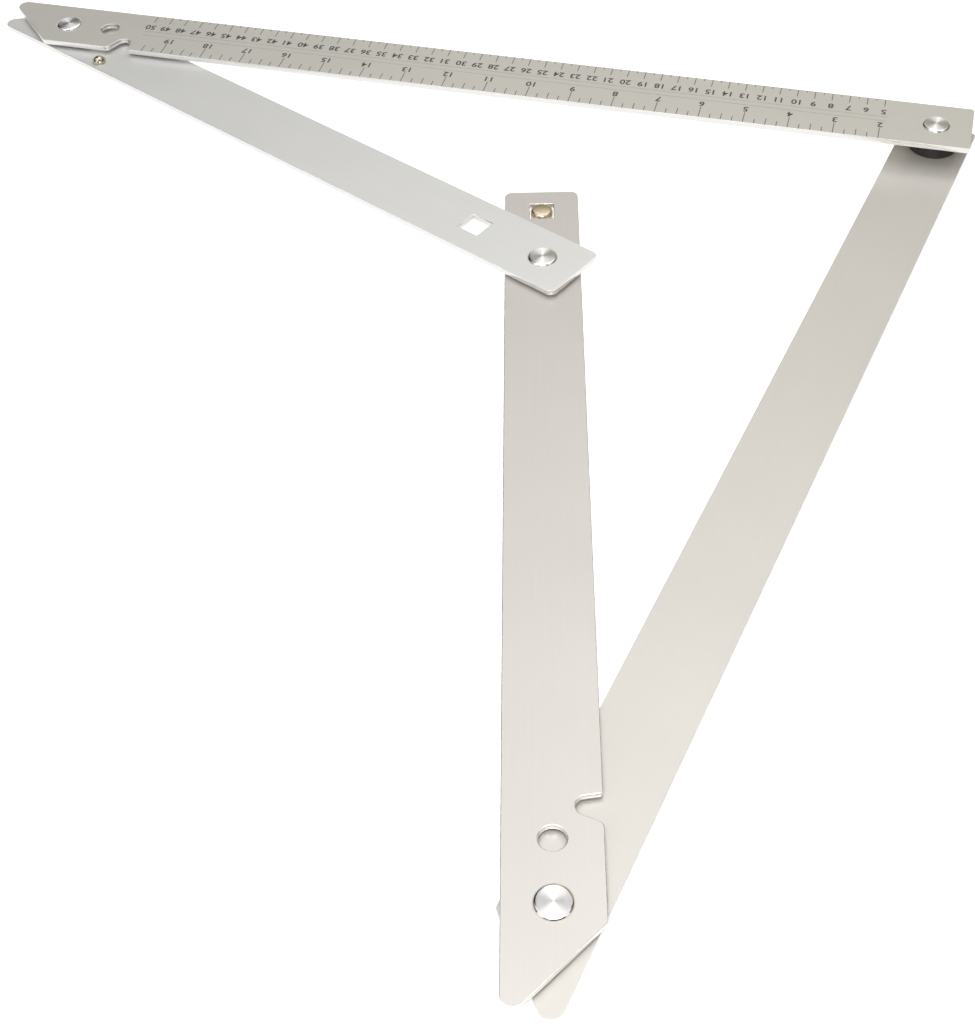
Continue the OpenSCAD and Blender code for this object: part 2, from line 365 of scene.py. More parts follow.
def maths(tree, operation, first, second=0.0):
    """Result of a Math node on two numbers or sockets."""
    return add_node(tree, "ShaderNodeMath", {0: first, 1: second}, operation=operation).outputs[0]


def ranged(tree, value, span, result=(0.0, 1.0), curve="LINEAR"):
    """A value taken from one span to that of its results, and held at their ends."""
    inputs = {
        "Value": value, "From Min": span[0], "From Max": span[1], "To Min": result[0], "To Max": result[1],
    }
    return add_node(tree, "ShaderNodeMapRange", inputs, interpolation_type=curve).outputs["Result"]


def mixed(tree, factor, first, second):
    """Colour between two colours."""
    inputs = {0: factor, 6: first, 7: second}
    return add_node(tree, "ShaderNodeMix", inputs, data_type="RGBA").outputs[2]


def noise(tree, vector, scale, detail, stretch=(1, 1, 1)):
    """Noise from 0 to 1 on stretched coordinates, with scale in waves per metre."""
    stretched = add_node(
        tree, "ShaderNodeVectorMath", {0: vector, 1: Vector(stretch) * scale}, operation="MULTIPLY"
    )
    inputs = {"Vector": stretched.outputs[0], "Scale": 1.0, "Detail": detail, "Roughness": 0.55}
    return add_node(tree, "ShaderNodeTexNoise", inputs).outputs[0]


def patchy(tree, amount, rgb, dark=1.0, light=1.0):
    """A colour between its dark and its light tone, which are given as factors on it."""
    tones = [(*(part * factor for part in rgb), 1.0) for factor in (dark, light)]
    return mixed(tree, amount, *tones)


def new_finish(name):
    """A new material, its node tree and its shader."""
    material = bpy.data.materials.new(name)
    material.use_nodes = True
    tree = material.node_tree
    return material, tree, tree.nodes["Principled BSDF"]


def plug(tree, shader, **values):
    """Set or link the shader's sockets, which are named with _ for a space."""
    for name, value in values.items():
        fill(tree, shader.inputs[name.replace("_", " ")], value)


def bumped(tree, height, distance):
    """Normal of a surface raised by this height times the distance."""
    inputs = {"Height": height, "Distance": distance, "Strength": 1.0}
    return add_node(tree, "ShaderNodeBump", inputs).outputs[0]


def own_place(tree, start=None, angle=0.0):
    """Object coordinates, counted from a start and turned about Z where these are given."""
    place = add_node(tree, "ShaderNodeTexCoord").outputs["Object"]
    if start is None:
        return place
    inputs = {"Vector": place, "Location": start, "Rotation": (0.0, 0.0, angle)}
    return add_node(tree, "ShaderNodeMapping", inputs, vector_type="TEXTURE").outputs[0]


def satin_finish(bar, face, roughness, metal):
    """Satin aluminium with a fine grain along a bar, soft clouds and a few hairline scratches."""
    material, tree, shader = new_finish(f"{bar} satin aluminium")
    place = own_place(tree, BARS[bar][1], bar_angle(bar))
    grain = noise(tree, place, scale=2200, detail=3.0, stretch=(0.012, 1, 1))
    clouds = noise(tree, place, scale=14, detail=3.0)
    hairlines = noise(tree, place, scale=900, detail=1.0, stretch=(0.006, 1, 1))
    scratch = ranged(tree, hairlines, span=(0.72, 0.82))
    tone = maths(tree, "ADD", maths(tree, "MULTIPLY", grain, 0.5), maths(tree, "MULTIPLY", clouds, 0.5))
    base = patchy(tree, ranged(tree, tone, span=(0.35, 0.65)), face, dark=0.95)
    rough = ranged(tree, grain, NOISE_SPAN, result=(roughness - 0.05, roughness + 0.05))
    polish = maths(tree, "MULTIPLY", scratch, 0.04)
    depth = maths(tree, "MULTIPLY", scratch, 0.15)
    relief = maths(tree, "SUBTRACT", grain, depth)
    plug(
        tree, shader, Base_Color=base, Metallic=metal, Specular_IOR_Level=0.3,
        Roughness=maths(tree, "SUBTRACT", rough, polish),
        Normal=bumped(tree, relief, distance=0.004 * MM),
    )
    return material


def cut_finish(bar, wall, roughness):
    """Sawn aluminium wall with fine lines round the bar."""
    material, tree, shader = new_finish(f"{bar} cut edge")
    place = own_place(tree, BARS[bar][1], bar_angle(bar))
    lines = noise(tree, place, scale=5000, detail=2.0, stretch=(0.03, 0.03, 1))
    patches = noise(tree, place, scale=60, detail=2.0)
    base = patchy(tree, patches, wall, dark=0.93)
    rough = ranged(tree, lines, NOISE_SPAN, result=(roughness - 0.08, roughness + 0.08))
    plug(
        tree, shader, Base_Color=base, Metallic=1.0, Roughness=rough,
        Normal=bumped(tree, lines, distance=0.006 * MM),
    )
    return material


def ink_finish(name, ink):
    """Thin print, a little worn and patchy."""
    material, tree, shader = new_finish(name)
    place = own_place(tree)
    worn = noise(tree, place, scale=700, detail=3.0)
    base = patchy(tree, ranged(tree, worn, span=(0.35, 0.75)), ink, light=1.7)
    rough = ranged(tree, worn, NOISE_SPAN, result=(0.45, 0.62))
    plug(tree, shader, Base_Color=base, Roughness=rough, Normal=bumped(tree, worn, distance=0.004 * MM))
    return material


def turned_finish(name, metal, roughness, turning, pitch):
    """Turned metal: concentric marks that stretch its reflections round the axis."""
    material, tree, shader = new_finish(name)
    radius = add_node(tree, "ShaderNodeAttribute", attribute_name=RADIUS_NAME).outputs["Fac"]
    wave = maths(tree, "SINE", maths(tree, "MULTIPLY", radius, 2 * math.pi / pitch))
    place = own_place(tree)
    smears = noise(tree, place, scale=500, detail=2.0)
    base = patchy(tree, smears, metal, dark=0.93)
    rough = ranged(tree, smears, NOISE_SPAN, result=(roughness - 0.04, roughness + 0.04))
    around = add_node(tree, "ShaderNodeTangent", direction_type="RADIAL", axis="Z").outputs[0]
    plug(
        tree, shader, Base_Color=base, Metallic=1.0, Roughness=rough, Anisotropic=turning,
        Anisotropic_Rotation=0.25, Tangent=around, Normal=bumped(tree, wave, distance=0.001 * MM),
    )
    return material


def polished_finish(name, metal, roughness):
    """Polished metal with faint patches and fine wear."""
    material, tree, shader = new_finish(name)
    place = own_place(tree)
    patches = noise(tree, place, scale=260, detail=3.0)
    base = patchy(tree, ranged(tree, patches, NOISE_SPAN), metal, dark=0.86)
    wear = noise(tree, place, scale=1500, detail=2.0)
    rough = ranged(tree, wear, NOISE_SPAN, result=(roughness * 0.8, roughness * 1.4))
    plug(
        tree, shader, Base_Color=base, Metallic=1.0, Roughness=rough,
        Normal=bumped(tree, patches, distance=0.02 * MM),
    )
    return material


def moulded_finish(name, plastic):
    """Moulded black plastic with a fine texture and paler rubbed patches."""
    material, tree, shader = new_finish(name)
    place = own_place(tree)
    texture = noise(tree, place, scale=2600, detail=2.0)
    patches = noise(tree, place, scale=240, detail=3.0)
    rubbed = ranged(tree, patches, span=(0.45, 0.75))
    base = patchy(tree, rubbed, plastic, light=2.2)
    rough = ranged(tree, texture, NOISE_SPAN, result=(0.34, 0.5))
    plug(tree, shader, Base_Color=base, Roughness=rough, Normal=bumped(tree, texture, distance=0.01 * MM))
    return material


def new_tree(name, sockets):
    """An empty geometry tree with these named inputs. Returns it, its input node and its output node."""
    tree = bpy.data.node_groups.new(name, "GeometryNodeTree")
    tree.is_modifier = True
    tree.interface.new_socket("Geometry", in_out="INPUT", socket_type="NodeSocketGeometry")
    for label, kind in sockets.items():
        tree.interface.new_socket(label, in_out="INPUT", socket_type=f"NodeSocket{kind}")
    tree.interface.new_socket("Geometry", in_out="OUTPUT", socket_type="NodeSocketGeometry")
    return tree, tree.nodes.new("NodeGroupInput"), tree.nodes.new("NodeGroupOutput")


def end_tree(tree, geometry, finish, end):
    """Close a tree: make its instances real, set their material and hand them out."""
    real = add_node(tree, "GeometryNodeRealizeInstances", {"Geometry": geometry})
    dressed = add_node(tree, "GeometryNodeSetMaterial", {"Geometry": real.outputs[0], "Material": finish})
    tree.links.new(dressed.outputs[0], end.inputs[0])


def rowed(tree, shape, count, first, step):
    """Copies of a shape in a row, from the first place on by equal steps."""
    line = add_node(tree, "GeometryNodeMeshLine", {"Count": count, "Start Location": first, "Offset": step})
    inputs = {"Points": line.outputs[0], "Instance": shape}
    return add_node(tree, "GeometryNodeInstanceOnPoints", inputs).outputs[0]


def turning_tree():
    """Tree that turns a half profile, with its radius as X and height as Z, and stacks the result."""
    sockets = {
        "Segments": "Int", "Axis": "Vector", "Count": "Int", "Pitch": "Float", "Material": "Material",
    }
    tree, start, end = new_tree("Turned piece", sockets)
    profile = start.outputs["Geometry"]
    size = add_node(tree, "GeometryNodeAttributeDomainSize", {"Geometry": profile}, component="MESH")
    points = size.outputs["Point Count"]
    rows = maths(tree, "ADD", start.outputs["Segments"], 1.0)
    grid = add_node(
        tree, "GeometryNodeMeshGrid",
        {"Size X": 1.0, "Size Y": 1.0, "Vertices X": points, "Vertices Y": rows},
    )
    here = add_node(tree, "GeometryNodeInputPosition").outputs[0]
    split = add_node(tree, "ShaderNodeSeparateXYZ", {0: here})
    along = maths(tree, "ADD", split.outputs["X"], 0.5)
    index = maths(tree, "ROUND", maths(tree, "MULTIPLY", along, maths(tree, "SUBTRACT", points, 1.0)))
    sample = add_node(
        tree, "GeometryNodeSampleIndex", {"Geometry": profile, "Index": index},
        data_type="FLOAT_VECTOR", domain="POINT",
    )
    tree.links.new(add_node(tree, "GeometryNodeInputPosition").outputs[0], sample.inputs["Value"])
    outline = add_node(tree, "ShaderNodeSeparateXYZ", {0: sample.outputs[0]})
    radius, height = outline.outputs["X"], outline.outputs["Z"]
    angle = maths(tree, "MULTIPLY", maths(tree, "ADD", split.outputs["Y"], 0.5), 2 * math.pi)
    place = add_node(
        tree, "ShaderNodeCombineXYZ",
        {
            "X": maths(tree, "MULTIPLY", radius, maths(tree, "COSINE", angle)),
            "Y": maths(tree, "MULTIPLY", radius, maths(tree, "SINE", angle)),
            "Z": height,
        },
    )
    kept = add_node(
        tree, "GeometryNodeStoreNamedAttribute",
        {"Geometry": grid.outputs["Mesh"], "Name": RADIUS_NAME, "Value": radius},
        data_type="FLOAT", domain="POINT",
    )
    wrapped = add_node(
        tree, "GeometryNodeSetPosition", {"Geometry": kept.outputs[0], "Position": place.outputs[0]}
    )
    closed = add_node(
        tree, "GeometryNodeMergeByDistance", {"Geometry": wrapped.outputs[0], "Distance": SEAM}
    )
    step = add_node(tree, "ShaderNodeCombineXYZ", {"Z": start.outputs["Pitch"]})
    stack = rowed(
        tree, closed.outputs[0], start.outputs["Count"], start.outputs["Axis"], step.outputs[0]
    )
    end_tree(tree, stack, start.outputs["Material"], end)
    return tree


def tick_tree():
    """Tree that adds one row of equal ticks to a rule."""
    sockets = {
        "Start": "Vector", "Pitch": "Float", "Count": "Int", "Size": "Vector", "Material": "Material",
    }
    tree, start, end = new_tree("Row of ticks", sockets)
    back = maths(tree, "MULTIPLY", start.outputs["Pitch"], -1.0)
    step = add_node(tree, "ShaderNodeCombineXYZ", {"X": back})
    tick = add_node(tree, "GeometryNodeMeshCube", {"Size": start.outputs["Size"]})
    row = rowed(tree, tick.outputs[0], start.outputs["Count"], start.outputs["Start"], step.outputs[0])
    joined = add_node(tree, "GeometryNodeJoinGeometry")
    tree.links.new(start.outputs["Geometry"], joined.inputs[0])
    tree.links.new(row, joined.inputs[0])
    end_tree(tree, joined.outputs[0], start.outputs["Material"], end)
    return tree


def add_tree(piece, tree, values):
    """Put a tree on a piece and set its inputs by their names."""
    modifier = piece.modifiers.new(tree.name, "NODES")
    modifier.node_group = tree
    for socket in tree.interface.items_tree:
        if socket.in_out == "INPUT" and socket.name in values:
            modifier[socket.identifier] = values[socket.name]


def new_piece(name, mesh):
    """An object for a mesh, in the scene and at the origin."""
    piece = bpy.data.objects.new(name, mesh)
    bpy.context.scene.collection.objects.link(piece)
    return piece


def settle(piece):
    """Make what a piece's trees give its plain mesh, with one finish, closed seams and outward faces."""
    bpy.context.view_layer.update()
    graph = bpy.context.evaluated_depsgraph_get()
    mesh = bpy.data.meshes.new_from_object(
        piece.evaluated_get(graph), preserve_all_data_layers=True, depsgraph=graph
    )
    piece.modifiers.clear()
    old = piece.data
    piece.data = mesh
    bpy.data.meshes.remove(old)
    mesh.name = piece.name
    finish = next(material for material in mesh.materials if material)
    mesh.materials.clear()
    mesh.materials.append(finish)
    for face in mesh.polygons:
        face.material_index = 0
    shape = bmesh.new()
    shape.from_mesh(mesh)
    bmesh.ops.remove_doubles(shape, verts=shape.verts, dist=SEAM)
    bmesh.ops.recalc_face_normals(shape, faces=shape.faces)
    shape.to_mesh(mesh)
    shape.free()


def shade(mesh, sharp_angle, flat_faces=()):
    """Shade a mesh smooth but for its flat faces, with an edge where faces turn by more than an angle."""
    loaded_normals = mesh.attributes.get("custom_normal")
    if loaded_normals:
        mesh.attributes.remove(loaded_normals)
    mesh.set_sharp_from_angle(angle=math.radians(sharp_angle))
    for face in mesh.polygons:
        face.use_smooth = face.index not in flat_faces


def mount(piece, body, slot, *nodes):
    """Let a piece ride on its body in place of these CAD nodes. The slot is not used."""
    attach(piece, body)
    if nodes:
        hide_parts(*nodes)


def mesh_of(shape, name):
    """A new mesh of a shape, which is freed."""
    mesh = bpy.data.meshes.new(name)
    shape.to_mesh(mesh)
    shape.free()
    return mesh


def turned_size(node):
    """Outer radius and height of a turned node."""
    low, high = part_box(node)
    return (high.x - low.x) / 2, high.z - low.z


def merged_shape(node):
    """A CAD node's mesh with its triangles joined into whole faces."""
    shape = bmesh.new()
    shape.from_mesh(frame["nodes"][node].data)
    bmesh.ops.remove_doubles(shape, verts=shape.verts, dist=WELD)
    bmesh.ops.dissolve_limit(
        shape, angle_limit=math.radians(FACE_ANGLE), verts=shape.verts, edges=shape.edges
    )
    return shape


def arc(centre, radius, start, end, steps, height=None):
    """Points of an arc in a half profile, from one angle to another, in degrees, or of a flatter oval."""
    rise = radius if height is None else height
    points = []
    for step in range(steps + 1):
        angle = math.radians(start + (end - start) * step / steps)
        points.append((centre[0] + radius * math.cos(angle), centre[1] + rise * math.sin(angle)))
    return points


def dome(radius, base, crown, rounding, steps=14):
    """Half profile of a dome from its rounded foot, at the base's height, to the axis."""
    height = crown - base
    sphere = (radius * radius + height * height) / (2 * height)
    foot = math.degrees(math.asin((sphere - height) / sphere))
    points = [(radius, base - rounding)]
    points.append((radius - rounding * FOOT_INSET, base - rounding * FOOT_DROP))
    lift = rounding / sphere * FOOT_LIFT
    points += arc((0.0, crown - sphere), sphere, start=foot + lift, end=90, steps=steps)
    return points


def turned(name, profile, axis, material, settings, count=1, pitch=0.0):
    """A turned piece from its half profile, or a stack of such pieces."""
    mesh = bpy.data.meshes.new(name)
    edges = [(i, i + 1) for i in range(len(profile) - 1)]
    mesh.from_pydata([(radius, 0.0, height) for radius, height in profile], edges, [])
    piece = new_piece(name, mesh)
    values = {
        "Segments": settings.segments, "Axis": axis, "Count": count, "Pitch": pitch, "Material": material,
    }
    add_tree(piece, bpy.data.node_groups.get("Turned piece") or turning_tree(), values)
    settle(piece)
    shade(piece.data, TURNED_CREASE)
    return piece


def head_profile(head, shank, grip, settings):
    """Half profile of a rivet head on its shank, from the shank up to the axis."""
    flat = head - settings.head_rim
    top = grip + settings.head_height
    rim = arc((flat, grip), settings.head_rim, start=0, end=90, steps=14, height=settings.head_height)
    return [(shank, grip), *rim, (flat * HEAD_RING, top), (0.0, top)]


class SQUARE_OT_make_bars(bpy.types.Operator):
    """Make the four bars with broken edges, satin faces and cut walls"""

    bl_idname = "square.make_bars"
    bl_label = "Bars"

    def execute(self, context):
        settings = context.scene.folding_square.bars
        for bar, (body, _, _, slot) in BARS.items():
            shape = merged_shape(bar)
            sharp = [edge for edge in shape.edges if edge.calc_face_angle(0.0) > math.radians(EDGE_ANGLE)]
            bmesh.ops.bevel(
                shape, geom=sharp, offset=settings.edge_break, offset_type="OFFSET",
                segments=settings.edge_steps, profile=0.5, affect="EDGES", clamp_overlap=True,
            )
            mesh = mesh_of(shape, f"{bar}_satin")
            flat_faces = {face.index for face in mesh.polygons if abs(face.normal.z) > FLAT_FACING}
            for face in mesh.polygons:
                face.material_index = 0 if face.index in flat_faces else 1
            shade(mesh, BAR_CREASE, flat_faces)
            metal_colour = getattr(settings, bar)
            mesh.materials.append(satin_finish(bar, metal_colour, settings.roughness, settings.metal))
            mesh.materials.append(cut_finish(bar, settings.cut_edge, settings.edge_roughness))
            mount(new_piece(mesh.name, mesh), body, slot, bar)
        return {"FINISHED"}


class SQUARE_OT_make_rule(bpy.types.Operator):
    """Print the rule on the ruler: ticks, numbers and two long lines"""

    bl_idname = "square.make_rule"
    bl_label = "Rule"

    def execute(self, context):
        settings = context.scene.folding_square.rule
        low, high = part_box("ruler_bar")
        self.make_ticks(settings, low, high, ink_finish("rule tick print", settings.tick_colour))
        self.make_numbers(settings, low, high, ink_finish("rule number print", settings.number_colour))
        self.make_lines(settings, low, high, ink_finish("rule line print", settings.line_colour))
        return {"FINISHED"}

    @staticmethod
    def print_height(settings, high):
        """Middle and height of the print, which is rooted in the ruler's face."""
        return high.z + (settings.ink - settings.ink_root) / 2, settings.ink + settings.ink_root

    def make_ticks(self, settings, low, high, ink):
        """Rows of centimetre ticks on the outer edge and inch ticks on the inner edge."""
        middle, thickness = self.print_height(settings, high)
        cm_count = settings.last_cm - settings.first_cm
        inch_count = settings.last_inch - settings.first_inch
        first_cm = settings.first_cm * CM
        first_inch = settings.first_inch * INCH
        # Each row: the distance of its first tick from the square end, its pitch and count, the length of
        # its ticks, and its side of the bar.
        rows = (
            (first_cm, CM, cm_count + 1, settings.cm_tick, 1),
            (first_cm + CM / 2, CM, cm_count, settings.half_cm_tick, 1),
            (first_inch, INCH, inch_count + 1, settings.inch_tick, -1),
            (first_inch + INCH / 2, INCH, inch_count + 1, settings.half_inch_tick, -1),
            (first_inch + INCH / 4, INCH / 2, 2 * inch_count + 1, settings.quarter_inch_tick, -1),
        )
        marks = new_piece("rule_ticks", bpy.data.meshes.new("rule_ticks"))
        tree = tick_tree()
        for first, pitch, count, tick, side in rows:
            edge = high.y if side > 0 else low.y
            drawn = tick - settings.edge_margin
            across = edge - side * (settings.edge_margin + drawn / 2)
            values = {
                "Start": (high.x - first, across, middle),
                "Pitch": pitch,
                "Count": count,
                "Size": (settings.tick_width, drawn, thickness),
                "Material": ink,
            }
            add_tree(marks, tree, values)
        settle(marks)
        mount(marks, "ruler", "ruler_aluminium")

    def make_numbers(self, settings, low, high, ink):
        """Numbers that read from the ruler's outer side, centred on their ticks."""
        centre = (low.y + high.y) / 2
        places = {}
        for number in range(settings.first_cm, settings.last_cm + 1):
            places[(number, number * CM)] = centre + settings.cm_number_place
        for number in range(settings.first_inch, settings.last_inch + 1):
            places[(number, number * INCH)] = centre - settings.inch_number_place
        middle, thickness = self.print_height(settings, high)
        weight = settings.number_weight
        sample, sample_height = self.digit_mesh("0", size=1.0, half_thickness=0.0, weight=0.0)
        bpy.data.meshes.remove(sample)
        size = (settings.number_height - 2 * weight) / sample_height
        turn = Matrix.Rotation(math.pi, 4, "Z")
        joined = bmesh.new()
        for (number, distance), across in places.items():
            mesh, _ = self.digit_mesh(str(number), size, thickness / 2, weight)
            mesh.transform(Matrix.Translation((high.x - distance, across, middle)) @ turn)
            joined.from_mesh(mesh)
            bpy.data.meshes.remove(mesh)
        bmesh.ops.remove_doubles(joined, verts=joined.verts, dist=SEAM)
        bmesh.ops.recalc_face_normals(joined, faces=joined.faces)
        mesh = mesh_of(joined, "rule_numbers")
        mesh.materials.append(ink)
        mount(new_piece(mesh.name, mesh), "ruler", "ruler_aluminium")

    @staticmethod
    def digit_mesh(words, size, half_thickness, weight):
        """Mesh of a number about its own middle, and its height."""
        text = bpy.data.curves.new("number", "FONT")
        text.body = words
        text.size = size
        text.resolution_u = 3
        text.extrude = half_thickness
        text.offset = weight
        text.align_x = "CENTER"
        writing = new_piece("number", text)
        bpy.context.view_layer.update()
        graph = bpy.context.evaluated_depsgraph_get()
        mesh = bpy.data.meshes.new_from_object(writing.evaluated_get(graph), depsgraph=graph)
        bpy.data.objects.remove(writing)
        bpy.data.curves.remove(text)
        lows = [min(v.co[i] for v in mesh.vertices) for i in range(2)]
        highs = [max(v.co[i] for v in mesh.vertices) for i in range(2)]
        middle = Vector(((lows[0] + highs[0]) / 2, (lows[1] + highs[1]) / 2, 0.0))
        mesh.transform(Matrix.Translation(-middle))
        return mesh, highs[1] - lows[1]

    def make_lines(self, settings, low, high, ink):
        """Two long lines, one on each side of the centre line."""
        middle, thickness = self.print_height(settings, high)
        run = settings.line_end - settings.line_start
        along = high.x - (settings.line_start + settings.line_end) / 2
        shape = bmesh.new()
        for side in (1, -1):
            across = (low.y + high.y) / 2 + side * settings.line_place
            size = Matrix.Diagonal((run, settings.line_width, thickness, 1.0))
            place = Matrix.Translation((along, across, middle))
            bmesh.ops.create_cube(shape, size=1.0, matrix=place @ size)
        mesh = mesh_of(shape, "rule_lines")
        mesh.materials.append(ink)
        mount(new_piece(mesh.name, mesh), "ruler", "ruler_aluminium")


class SQUARE_OT_make_rivets(bpy.types.Operator):
    """Turn the four rivets, the middle one in two halves"""

    bl_idname = "square.make_rivets"
    bl_label = "Rivets"

    def execute(self, context):
        settings = context.scene.folding_square.turned
        steel = turned_finish(
            "turned rivet steel", settings.rivet_colour, settings.rivet_roughness, settings.turning,
            settings.ring_pitch,
        )
        rim = polished_finish("polished rivet rim", settings.rivet_colour, settings.rim_roughness)
        bodies = {
            "corner_rivet": "corner_pivot",
            "ruler_tip_rivet": "ruler_tip_pivot",
            "leg_tip_rivet": "leg_tip_pivot",
            "brace_rivet_head": "upper_brace",
        }
        for node, body in bodies.items():
            radius, top = turned_size(node)
            grip = top - settings.head_height
            if node == "brace_rivet_head":
                foot = [(0.0, 0.0), (settings.shank, 0.0)]
            else:
                tail = settings.shank + settings.tail_depth
                foot = [(0.0, 0.0), (tail, 0.0), (settings.shank, settings.tail_depth)]
            profile = foot + head_profile(radius, settings.shank, grip, settings)
            rivet = turned(f"{node}_turned", profile, axis_of(node), steel, settings)
            rivet.data.materials.append(rim)
            for face in rivet.data.polygons:
                face.material_index = 0 if face.normal.z > TURNED_FACING else 1
            mount(rivet, body, "rivet_steel", node)
        clamp, top = turned_size("brace_rivet_post")
        half = settings.clamp / 2
        profile = [(0.0, 0.0), *arc((clamp - half, half), half, start=-90, end=90, steps=8)]
        profile += [(settings.shank, settings.clamp), (settings.shank, top), (0.0, top)]
        post = turned("brace_rivet_post_turned", profile, axis_of("brace_rivet_post"), steel, settings)
        mount(post, "lower_brace", "rivet_steel", "brace_rivet_post")
        return {"FINISHED"}


class SQUARE_OT_make_washers(bpy.types.Operator):
    """Mould the stack of washers at the corner and the single washers of the other pivots"""

    bl_idname = "square.make_washers"
    bl_label = "Washers"

    def execute(self, context):
        settings = context.scene.folding_square.turned
        black = moulded_finish("moulded black", settings.washer_colour)
        stack = sorted(node for node in frame["nodes"] if node.startswith("corner_washer_"))
        # Each piece: its nodes from the lowest up, and its body.
        groups = {
            "corner_stack": (stack, "corner_pivot"),
            "ruler_tip_washer_moulded": (["ruler_tip_washer"], "ruler_tip_pivot"),
            "leg_tip_washer_moulded": (["leg_tip_washer"], "leg_tip_pivot"),
            "brace_washer_moulded": (["brace_washer"], "lower_brace"),
        }
        for name, (nodes, body) in groups.items():
            outer, thick = turned_size(nodes[0])
            inner, rounding = settings.shank, settings.washer_round
            profile = [(inner, 0.0)]
            profile += arc((outer - rounding, rounding), rounding, start=-90, end=0, steps=5)
            profile += arc((outer - rounding, thick - rounding), rounding, start=0, end=90, steps=5)
            profile += [(inner, thick), (inner, 0.0)]
            washers = turned(name, profile, axis_of(nodes[0]), black, settings, len(nodes), thick)
            mount(washers, body, "washer_black", *nodes)
        return {"FINISHED"}


class SQUARE_OT_make_catch(bpy.types.Operator):
    """Make the catch, its leaf spring and the stop pin"""

    bl_idname = "square.make_catch"
    bl_label = "Catch and stop pin"

    def execute(self, context):
        settings = context.scene.folding_square.turned
        self.make_button(settings)
        self.make_pin(settings)
        self.make_spring(settings)
        return {"FINISHED"}

    @staticmethod
    def make_button(settings):
        """Button with a rounded rim and a low crown, on its stem."""
        radius, crown = turned_size("catch_button")
        stem, foot = settings.catch_stem, settings.catch_stem_length
        flat = radius - settings.catch_rim
        edge = crown - settings.catch_dome
        rise = settings.catch_dome - settings.catch_crown
        rim = arc((flat, edge), settings.catch_rim, start=0, end=90, steps=12, height=rise)
        profile = [(0.0, 0.0), (stem, 0.0), (stem, foot), (radius, foot), *rim]
        profile += [(flat * out, crown - settings.catch_crown * below) for out, below in CROWN_POINTS]
        metal = polished_finish("polished catch metal", settings.catch_colour, settings.catch_roughness)
        button = turned("catch_button_polished", profile, axis_of("catch_button"), metal, settings)
        mount(button, "catch", "catch_steel", "catch_button")

    @staticmethod
    def make_pin(settings):
        """Domed stud on its shank."""
        radius, crown = turned_size("stop_pin")
        shank, seat = settings.pin_shank, settings.pin_shank_length
        profile = [(0.0, 0.0), (shank, 0.0), (shank, seat), (radius, seat)]
        profile += dome(radius, crown - settings.pin_dome, crown, settings.dome_round)
        metal = polished_finish("passivated pin steel", settings.pin_colour, settings.pin_roughness)
        pin = turned("stop_pin_polished", profile, axis_of("stop_pin"), metal, settings)
        mount(pin, "upper_brace", "catch_steel", "stop_pin")

    @staticmethod
    def make_spring(settings):
        """Leaf spring of steel between the brace and its free end, in place of its CAD node."""
        mesh = mesh_of(merged_shape("latch_spring"), "latch_leaf")
        shade(mesh, LEAF_CREASE)
        steel = polished_finish("leaf spring steel", settings.spring_colour, settings.spring_roughness)
        mesh.materials.append(steel)
        leaf = new_piece(mesh.name, mesh)
        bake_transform(leaf)
        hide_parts("latch_spring")


